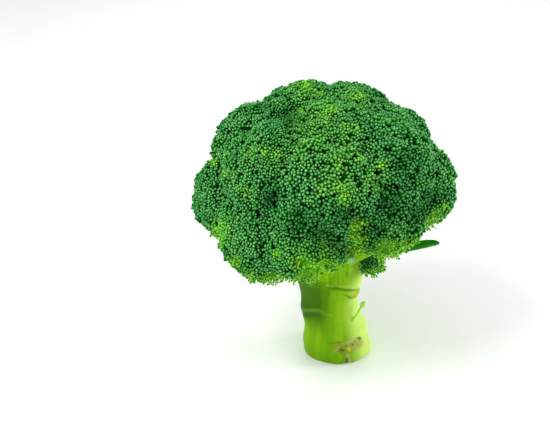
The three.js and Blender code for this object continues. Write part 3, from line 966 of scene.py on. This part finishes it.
# The trunk on a grid of heights and angles: each point lies its radius away from the middle line, and one
# point closes either end.
def trunkPoints():
    height, angle = np.meshgrid(
        np.linspace(0, stalk["top"], stalk["rows"]),
        turns(stalk["sides"]),
        indexing="ij",
    )
    radius = stalkRadius(angle, height)
    points = stalkMiddle(height) + np.stack([radius * np.cos(angle), radius * np.sin(angle), 0 * height], -1)
    ends = np.stack([points[0].mean(0), points[-1].mean(0)])
    quads, fans = closedFaces(stalk["rows"], stalk["sides"])
    return np.concatenate([points.reshape(-1, 3), ends]), quads, fans


# The branches, and under the low florets the branchlets that fan out from each branch to the floret's back.
def branchParts(places, chance):
    steps = stalk["branchSteps"]
    parts = []
    for place in places:
        axis, radius = place["axis"], place["radius"]
        root = stalkMiddle(max(place["fork"] - stalk["rootDepth"], stalk["rootDepth"] / 2))
        tip = place["back"] - axis * 0.5
        share = min(1, radius / stalk["fullDome"])
        opened = "low" in place["name"] and place["name"] != "floret_low_front"
        profile = stalk["openRadii"] if opened else stalk["branchRadii"]
        path = curveAt(evenSteps(root, place["turn"], tip, steps)[:, None], root, place["turn"], tip)
        tangents = unit(np.gradient(path, axis=0))
        stations = np.linspace(0, len(profile) - 1, steps)
        radii = np.interp(stations, np.arange(len(profile)), profile) * share
        parts.append(tubesRound(path[None], tangents[None], radii[None], stalk["branchSides"]))
        if opened:
            parts.append(fanOut(place, path, share, chance))
    return parts


branchlets = {
    "count": 13,
    "start": 0.58,  # share of the branch's way where they leave it
    "reach": 0.80,  # share of the dome's radius that they fan out to
    "radii": np.array([3.4, 3.0, 2.6, 2.4, 2.5]),
    "steps": 9,
    "sides": 9,
}


# Branchlets from a branch to the back of its floret: their tips lie on a spiral, evenly spread.
def fanOut(place, path, share, chance):
    number = np.arange(branchlets["count"]) + 0.5
    out = np.sqrt(number / branchlets["count"]) * branchlets["reach"] * place["radius"]
    around = number * goldenAngle + chance.uniform(0, 6)
    first, second = sideways(place["axis"][None])
    aside = np.cos(around)[:, None] * first + np.sin(around)[:, None] * second
    start = path[round(branchlets["start"] * (len(path) - 1))]
    tips = place["back"] + aside * out[:, None] + place["axis"] * 1.5
    roots = start + aside * 3.0 * share - place["axis"] * 2
    bends = roots + place["axis"] * 7 * share + aside * (out[:, None] * 0.25)
    profile = branchlets["radii"]
    stations = np.linspace(0, len(profile) - 1, branchlets["steps"])
    radii = np.interp(stations, np.arange(len(profile)), profile)[None] * share
    return tubes(roots, bends, tips, np.repeat(radii, len(tips), 0), branchlets["sides"])


# Makes one skin of overlapping closed ones: a voxel remesh, softened by a few rounds of smoothing.
def fused(made, voxel, rounds):
    remesh = made.modifiers.new("fuse", "REMESH")
    remesh.mode = "VOXEL"
    remesh.voxel_size = voxel * mm
    soften = made.modifiers.new("soften", "SMOOTH")
    soften.factor = 0.5
    soften.iterations = rounds
    graph = bpy.context.evaluated_depsgraph_get()
    mesh = bpy.data.meshes.new_from_object(made.evaluated_get(graph))
    made.modifiers.clear()
    made.data = mesh
    return made


# Lines on the stalk's skin, each from an angle and height to another, with its half width and strength:
# where the right branch parts from the stalk, the slit below it, the old leaf base on the left, and the
# split foot. The dark and soft lines are painted shade in these creases and cracks and under the ridge,
# the pale lines painted highlight along the ridge and the ledge, and the tan lines the skin's own colour.
skinLines = {
    "paintedShade": [
        (-92, 50.4, -80, 50.9, 0.8, 0.3), (-80, 50.9, -64, 49.1, 0.9, 0.45),
        (-64, 49.1, -27, 44.7, 1.0, 0.6), (-66, 46.3, -58, 44.3, 0.6, 0.5),
        (-58, 44.3, -49, 42.1, 0.8, 0.7), (-60, 45.6, -54, 41.8, 0.5, 0.6),
        (-50, 42.4, -30, 40.2, 1.8, 0.4), (-165, 25.0, -138, 28.4, 3.6, 0.75),
        (-138, 28.4, -118, 30.4, 2.4, 0.5), (-118, 30.4, -100, 29.6, 2.0, 0.3),
        (-71, 0, -71, 4.2, 1.2, 0.9), (-100, 13.4, -78, 14.6, 1.4, 0.3),
    ],
    "softShade": [
        (-80, 50.9, -92, 49.4, 2.0, 0.35), (-92, 49.4, -96, 41, 2.6, 0.5), (-96, 41, -96, 33, 3.0, 0.4),
        (-74, 9, -78, 1, 3.0, 0.4),
    ],
    "pale": [
        (-150, 30.4, -129, 33.0, 1.6, 0.2), (-129, 33.0, -111, 34.4, 1.7, 0.25),
        (-111, 34.4, -83, 31.2, 1.8, 0.15), (-96, 51.8, -64, 50.8, 1.2, 0.3),
        (-64, 50.8, -28, 46.6, 1.2, 0.4),
    ],
    "tan": [
        (-70, 7, -66, 1, 1.8, 0.7), (-64, 13.6, -38, 14.6, 1.6, 0.6), (-92, 9, -80, 12.0, 1.2, 0.3),
    ],
}
scar = {
    "angle": -62,
    "height": 11,
    "halfWidth": 11.8,  # round the stalk, in millimetres
    "halfHeight": 4.2,
    # Dark dots as angle, height and radius
    "dots": [
        (-34, 13.4, 1.2), (-39, 13.9, 0.6), (-54, 11.6, 0.6), (-66, 10.1, 0.6), (-76, 9.8, 0.6),
        (-47, 12.6, 0.4),
    ],
}


# The angle that a side of the skin faces, how far from it the side is full, and where it is gone. The
# left side and the foot take painted shade, the right side painted light.
skinSides = {"left": (-155, 44, 66), "right": (20, 44, 86), "footShade": (-130, 38, 66)}
# Spots as angle, height, the radius up to which they are full, and that where they are gone
skinSpots = {"yellow": (-64, 9.8, 0.4, 1.9), "lip": (-38, 43.6, 1.4, 5.0)}
stalkColours = {
    "skin": ((110, 166, 2), (134, 186, 18)),
    "cloud": (92, 152, 0),
    # Painted shade on the left side
    "leftShade": (52, 106, 0),
    # Painted light on the right edge
    "rightEdgeLight": (204, 234, 118),
    "fibre": (172, 210, 70),
    "upper": ((104, 164, 0), (140, 196, 18)),
    # Painted shade at the left of the foot
    "footShade": (74, 136, 0),
    "bark": ((140, 152, 48), (108, 124, 26)),
    "tanBark": (170, 174, 96),
    "paleGrit": (182, 182, 116),
    "darkGrit": (80, 92, 14),
    "dot": (46, 54, 6),
    "yellowSpot": (190, 202, 22),
    "lip": (158, 172, 26),
    # Painted shade for the dark and soft lines, painted highlight for the pale ones; tan is the skin's own
    # colour
    "lines": {"pale": (186, 212, 104), "tan": (178, 180, 108), "softShade": (66, 120, 0), "paintedShade": (44, 80, 0)},
    "cutEnd": ((206, 222, 160), (150, 188, 84)),
}


# Where a point of the skin lies: x and y from the stalk's middle line, height z, angle and length round
# the stalk; and the noises that make the skin uneven.
def skinPlace(shader):
    spot = shader.place(location=(-cutEnd).tolist())
    x, y, z = shader.split(spot)
    shift, low, high = stalkBends["waist"]
    x = x + shift * shader.step(low, high, z)
    angle = shader.node("Math", {"operation": "ARCTAN2"}, {0: y, 1: x})
    streaks = shader.node("Mapping", {}, {"Vector": spot, "Scale": (1, 1, 0.09)})
    return {
        "x": x,
        "y": y,
        "z": z,
        "angle": angle,
        "around": angle * skinRadius,
        "fibre": shader.noise(streaks, 1.6, 4),
        "broad": shader.noise(streaks, 9, 2),
        "cloud": shader.noise(spot, 12, 3),
        "warp": shader.noise(spot, 2.4, 4),
        "grit": shader.noise(spot, 0.9, 3),
    }


# The skin: yellow-green between and towards the florets, with faint streaks. Deep green on the left and
# darker at the left of the foot: painted shade. Pale on the right edge: painted light.
def plainSkin(shader, at):
    x, y, z, fibre, broad = at["x"], at["y"], at["z"], at["fibre"], at["broad"]
    skin = shader.mix(shader.step(0.3, 0.7, broad), *stalkColours["skin"])
    skin = shader.mix(shader.step(0.5, 0.8, at["cloud"]) * 0.3, skin, stalkColours["cloud"])
    # Painted shade: the left side is painted deep green where it lies in shadow.
    leftShade = shader.facing(x, y, *skinSides["left"]) * shader.step(14, 32, z)
    skin = shader.mix(leftShade * (0.7 + 0.3 * broad), skin, stalkColours["leftShade"])
    # Painted light: the right edge is painted pale, as if lit through from behind.
    rightEdgeLight = shader.facing(x, y, *skinSides["right"])
    skin = shader.mix(rightEdgeLight * 0.85, skin, stalkColours["rightEdgeLight"])
    pale = shader.step(0.5, 0.8, fibre) * (0.2 - 0.16 * leftShade)
    skin = shader.mix(pale, skin, stalkColours["fibre"])
    upper = shader.mix(shader.step(0.4, 0.6, fibre), *stalkColours["upper"])
    skin = shader.mix(shader.step(46, 60, z) * (0.9 - 0.25 * rightEdgeLight), skin, upper)
    # Painted shade: darker at the left of the foot, low down.
    footShade = (1 - shader.step(2, 14, z)) * shader.facing(x, y, *skinSides["footShade"])
    return shader.mix(footShade * 0.45, skin, stalkColours["footShade"])


# The scar is an ellipse on the skin with an uneven border, mottled olive and tan: its distance is
# ((a / half width)^2 + (b / half height)^2)^0.5. Returns how much of a place it covers, and its colour.
def barkScar(shader, at):
    warp, grit = at["warp"], at["grit"]
    aside = at["around"] - math.radians(scar["angle"]) * skinRadius + (warp - 0.5) * 4.5
    above = at["z"] - scar["height"] + (warp - 0.5) * 2.5 + (grit - 0.5) * 1.5
    far = ((aside / scar["halfWidth"]) ** 2 + (above / scar["halfHeight"]) ** 2) ** 0.5
    bark = shader.mix(shader.step(0.38, 0.62, warp), *stalkColours["bark"])
    tanSide = shader.step(math.radians(-78), math.radians(-48), at["angle"])
    bark = shader.mix(tanSide * 0.55, bark, stalkColours["tanBark"])
    bark = shader.mix(shader.step(0.54, 0.7, grit) * 0.5, bark, stalkColours["paleGrit"])
    bark = shader.mix((1 - shader.step(0.3, 0.46, grit)) * 0.6, bark, stalkColours["darkGrit"])
    return 1 - shader.step(0.62, 1.12, far), bark


# The lines of skinLines, then the scar's dots, a yellow spot on it and the lip under the right branch.
# Returns the colour, and the height that the lines have in the skin.
def skinMarks(shader, at, skin):
    z, around, warp, grit = at["z"], at["around"], at["warp"], at["grit"]
    wavy = around + (warp - 0.5) * 1.2
    lines = {kind: shader.nearLines(wavy, z, rows) for kind, rows in skinLines.items()}
    # Painted shade along the creases and cracks, painted highlight along the ridge and ledge, and the tan of
    # the skin.
    for kind, tint in stalkColours["lines"].items():
        skin = shader.mix(lines[kind], skin, tint)
    uneven, low = around + (grit - 0.5) * 1.5, z + (warp - 0.5)
    for angle, level, size in scar["dots"]:
        dot = shader.nearSpot(uneven, low, angle, level, size * 0.4, size * 1.4)
        skin = shader.mix(dot * 0.8, skin, stalkColours["dot"])
    yellow = shader.nearSpot(around + (grit - 0.5) * 2, z + (warp - 0.5) * 2, *skinSpots["yellow"])
    skin = shader.mix(yellow * 0.85, skin, stalkColours["yellowSpot"])
    lip = shader.nearSpot(around, z, *skinSpots["lip"])
    skin = shader.mix(lip * 0.75, skin, stalkColours["lip"])
    return skin, 0.7 * lines["pale"] - 0.9 * lines["paintedShade"] - 0.6 * lines["softShade"]


# The cut end's pale flesh, with a ring of bundles between 13 and 16 mm from its middle.
def cutFlesh(shader, at):
    across = (at["x"] ** 2 + at["y"] ** 2) ** 0.5
    bundle = shader.step(13, 14, across) * (1 - shader.step(15, 16, across))
    return shader.mix(bundle * (0.4 + 0.6 * at["cloud"]), *stalkColours["cutEnd"])


def stalkFinish():
    fixed = {"Specular IOR Level": 0.05, "Subsurface Weight": 0.1, "Subsurface Scale": 0.002}
    shader = Shader("broccoli_stalk", fixed)
    at = skinPlace(shader)
    inScar, bark = barkScar(shader, at)
    skin = shader.mix(inScar * 0.85, plainSkin(shader, at), bark)
    skin, raised = skinMarks(shader, at, skin)
    skin = shader.mix(1 - shader.step(0.1, 0.5, at["z"]), skin, cutFlesh(shader, at))
    height = 0.2 * at["fibre"] + 0.7 * inScar * at["warp"] + raised
    return shader.finish({"Base Color": skin, "Roughness": 0.36 + 0.2 * at["cloud"]}, height, 0.35)


# The trunk and the branches as one skin. Points less than half a millimetre above the floor are put on it,
# so that the cut end is flat.
def makeStalk(places, finish):
    chance = np.random.default_rng(7)
    parts = [trunkPoints()] + branchParts(places, chance)
    points, faceSets, start = [], {}, 0
    for part, *kinds in parts:
        for faces in kinds:
            faceSets.setdefault(faces.shape[1], []).append(faces + start)
        points.append(part)
        start += len(part)
    faceSets = [np.concatenate(kind) for kind in faceSets.values()]
    made = fused(meshFrom("stalk_and_branches", np.concatenate(points), faceSets, finish), stalk["voxel"], 3)
    mesh = made.data
    where = np.empty(len(mesh.vertices) * 3, np.float32)
    mesh.vertices.foreach_get("co", where)
    where = where.reshape(-1, 3)
    where[:, 2] = np.where(where[:, 2] < 0.5 * mm, 0, where[:, 2])
    mesh.vertices.foreach_set("co", where.ravel())
    mesh.polygons.foreach_set("use_smooth", np.ones(len(mesh.polygons), bool))
    mesh.update()
    print("stalk has", len(mesh.polygons), "faces")
    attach(made, "root")
    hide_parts("stalk")


# The stub of a side shoot on the right of the stalk: a thin stem with a knob.
def makeShoot(finish):
    root, bend, tip = stalk["shoot"][:, None]
    profile = stalk["shootRadii"]
    stations = np.linspace(0, len(profile) - 1, stalk["shootSteps"])
    radii = np.interp(stations, np.arange(len(profile)), profile)
    points, quads, caps = tubes(root, bend, tip, radii[None], stalk["shootSides"])
    along = np.repeat(np.linspace(0.8, 1.2, len(radii)), stalk["shootSides"])
    made = meshFrom("side_shoot", points, [quads, caps], finish, {"along": along})
    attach(made, "root")


makeStalk(places, stalkFinish())
makeShoot(stemMaterial)
print("stalk made")


# Leaves: root, bend and tip of the midrib, the direction across, width, how far the edges rise,
# thickness, and the waves of the edge
leaves = {
    "leaf_right": (
        (8, 6, 53), (36, 5, 64), (56, -3, 72.2), (-0.2, 1, -0.1), 10, 0.3, 0.8, 0.03,
    ),
    "leaf_left": (
        (-14, -7, 48), (-26, -14, 52), (-34, -17, 58), (0.5, -0.9, 0.1), 12, 0.25, 0.7, 0.1,
    ),
    "bract_front": (
        (6.4, -24.5, 70), (6.4, -31, 71.5), (6.6, -36.6, 79.6), (1, 0.1, 0), 5.0, -0.3, 0.7, 0.04,
    ),
}
blade = {
    "rows": 56,
    "columns": 25,
    "rootWidth": 0.3,  # share of the full width
    "tipPower": 7,  # the higher, the blunter the tip
    "waveTurn": 17,  # radians of the edge's waves from root to tip
    "midribWidth": 0.13,  # share of the half width
    "midribHeight": 0.35,
    "veins": 9,  # on each side
    "veinSlant": 0.25,
    "veinWidth": 0.25,
    "veinHeight": 0.1,
}


def leafFinish(name, base, light, vein):
    shader = Shader(name, {"Specular IOR Level": 0.5, "Subsurface Weight": 0.08, "Subsurface Scale": 0.001})
    rib, spot = shader.value("rib"), shader.place()
    tint = shader.mix(shader.step(0.35, 0.7, shader.noise(spot, 4, 3)), base, light)
    tint = shader.mix(rib, tint, vein)
    return shader.finish({"Base Color": tint, "Roughness": 0.42}, rib * 2 + shader.noise(spot, 0.8), 0.15)


# A blade on a grid along and across its midrib. Half width: a smooth rise from the root, a rounded tip like
# the root of 1 - x^tipPower, and waves. Height: the arch, the midrib, and side veins that run forward to
# the edge.
def makeLeaf(name, spec, finish):
    root, bend, tip, across, width, arch, thickness, waves = [np.asarray(x, float) for x in spec]
    rows, columns = blade["rows"], blade["columns"]
    share = evenSteps(root, bend, tip, rows)[:, None]
    middle = curveAt(share, root, bend, tip)
    tangent = curveDirection(share, root, bend, tip)
    aside = unit(across - tangent * (tangent @ across)[:, None])
    normal = np.cross(tangent, aside)
    along = np.linspace(0, 1, rows)[:, None]
    station = np.linspace(-1, 1, columns)[None]
    widening = blade["rootWidth"] + (1 - blade["rootWidth"]) * rise(0.2, 0.75, along)
    outline = widening * np.sqrt(1 - 0.985 * along ** blade["tipPower"])
    half = 0.5 * width * outline * (1 + waves * np.sin(blade["waveTurn"] * along))
    midrib = np.exp(-((station / blade["midribWidth"]) ** 2)) * (1 - 0.6 * along)
    slanted = along - blade["veinSlant"] * np.abs(station)
    wave = np.sin(blade["veins"] * math.pi * slanted) / blade["veinWidth"]
    vein = np.exp(-(wave**2)) * rise(0.05, 0.3, np.abs(station))
    lift = arch * station**2 * half - blade["midribHeight"] * midrib - blade["veinHeight"] * vein
    points = middle[:, None] + (station * half)[..., None] * aside[:, None]
    points = points + lift[..., None] * normal[:, None]
    rib = np.clip(midrib + 0.35 * vein, 0, 1)
    values = {"rib": np.broadcast_to(rib, (rows, columns)).ravel()}
    pieceName = name.replace("leaf", "blade").replace("bract_front", "bract_pale")
    faces = gridFaces(rows, columns, closed=False)
    made = meshFrom(pieceName, points.reshape(-1, 3), [faces], finish, values)
    wall = made.modifiers.new("thickness", "SOLIDIFY")
    wall.thickness = float(thickness) * mm
    wall.offset = 0
    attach(made, "root")
    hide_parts(name)


darkLeaf = leafFinish("leaf_green", (8, 146, 6), (26, 164, 12), (70, 178, 40))
paleLeaf = leafFinish("bract_pale_green", (108, 174, 88), (138, 194, 112), (160, 206, 128))
for name, spec in leaves.items():
    makeLeaf(name, spec, paleLeaf if name.startswith("bract") else darkLeaf)
print("leaves made")
